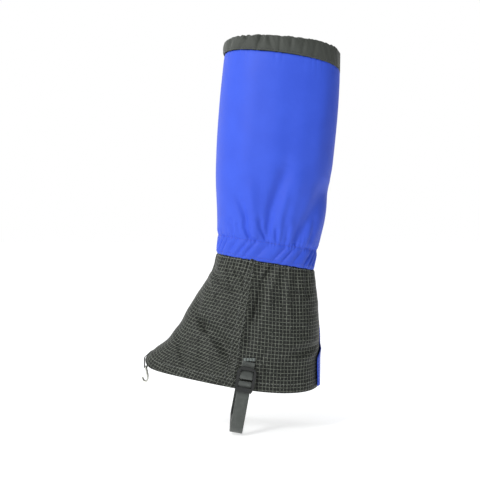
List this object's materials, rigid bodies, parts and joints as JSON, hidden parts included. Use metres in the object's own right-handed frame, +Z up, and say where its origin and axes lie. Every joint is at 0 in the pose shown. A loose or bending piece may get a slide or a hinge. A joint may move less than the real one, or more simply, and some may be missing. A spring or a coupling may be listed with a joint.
{
  "type": "hiking gaiter",
  "caption": "Knee-high hiking gaiter in its worn shape, with a gathered top band, ankle elastic, ripstop lower, rear zip under a flap, foot strap with ladder buckle and a lace hook.",
  "frame": {"origin": "on the axis of the leg at the middle of the ankle elastic", "axes": "+Z up the leg, -X towards the toe, -Y towards the outer side of the left leg"},
  "size_m": [0.2479, 0.1286, 0.4779],
  "materials": {
    "blue_coated_nylon": "soft sheen, plain weave with a waterproof coating",
    "grey_band_cloth": "plain weave, soft sheen",
    "dark_ripstop": "ripstop weave with a light grid, slight sheen",
    "grey_webbing": "ribbed polypropylene webbing",
    "woven_elastic": "white woven elastic",
    "black_touch_tape": "black hook-and-loop tape, matt",
    "zip_nylon": "dark woven tape and nylon coil",
    "black_acetal": "moulded, satin",
    "nickel_wire": "nickel plated"
  },
  "bodies": {
    "shell": {"upper_shell": "blue_coated_nylon", "lower_front_panel": "dark_ripstop", "lower_rear_panel_outer": "dark_ripstop", "lower_rear_panel_inner": "dark_ripstop", "top_band": "grey_band_cloth", "top_elastic": "woven_elastic", "ankle_elastic": "woven_elastic", "ankle_casing": "blue_coated_nylon", "zip_tape_outer": "zip_nylon", "zip_tape_inner": "zip_nylon", "zip_coil_outer": "zip_nylon", "zip_coil_inner": "zip_nylon", "zip_stop_outer": "nickel_wire", "zip_stop_inner": "nickel_wire", "zip_box": "black_acetal", "zip_pin": "black_acetal", "flap_sewn_edge": "blue_coated_nylon", "flap_loop_tape": "black_touch_tape", "top_tab_base": "black_touch_tape", "top_tab_loop_patch": "black_touch_tape", "strap_anchor_outer": "grey_webbing", "strap_anchor_inner": "grey_webbing", "hook_tab": "grey_webbing"},
    "slider": {"zip_slider": "nickel_wire", "zip_pull": "nickel_wire"},
    "flap": {"storm_flap": "blue_coated_nylon", "flap_hook_tape": "black_touch_tape"},
    "top_tab": {"top_tab": "black_touch_tape", "top_tab_hook_patch": "black_touch_tape"},
    "strap": {"foot_strap": "grey_webbing", "strap_free_end": "grey_webbing"},
    "buckle": {"ladder_buckle": "black_acetal", "foot_strap_in_buckle": "grey_webbing", "buckle_tab": "grey_webbing"},
    "hook": {"lace_hook": "nickel_wire"}
  },
  "joints": [
    {"name": "zip_travel", "type": "hinge", "parent": "shell", "child": "slider", "pos_m": [-1.054, 0.02, 0.253], "axis": [0, 1, 0], "range_deg": [0, 6.7]},
    {"name": "flap_open", "type": "hinge", "parent": "shell", "child": "flap", "pos_m": [0.0838, 0.0285, 0.188], "axis": [0.0618, 0, 0.9981], "range_deg": [0, 90]},
    {"name": "top_tab_open", "type": "hinge", "parent": "shell", "child": "top_tab", "pos_m": [0.08705, 0.0285, 0.237], "axis": [0, 0, 1], "range_deg": [0, 110]},
    {"name": "strap_swing", "type": "hinge", "parent": "shell", "child": "strap", "pos_m": [-0.0236, 0, -0.127], "axis": [0, 1, 0], "range_deg": [-12, 15]},
    {"name": "buckle_tilt", "type": "hinge", "parent": "strap", "child": "buckle", "pos_m": [-0.02433, -0.0586, -0.13093], "axis": [-0.9833, 0, 0.1822], "range_deg": [0, 35]},
    {"name": "lace_hook_swing", "type": "hinge", "parent": "shell", "child": "hook", "pos_m": [-0.1525, 0, -0.144], "axis": [0, 1, 0], "range_deg": [-20, 60]}
  ]
}
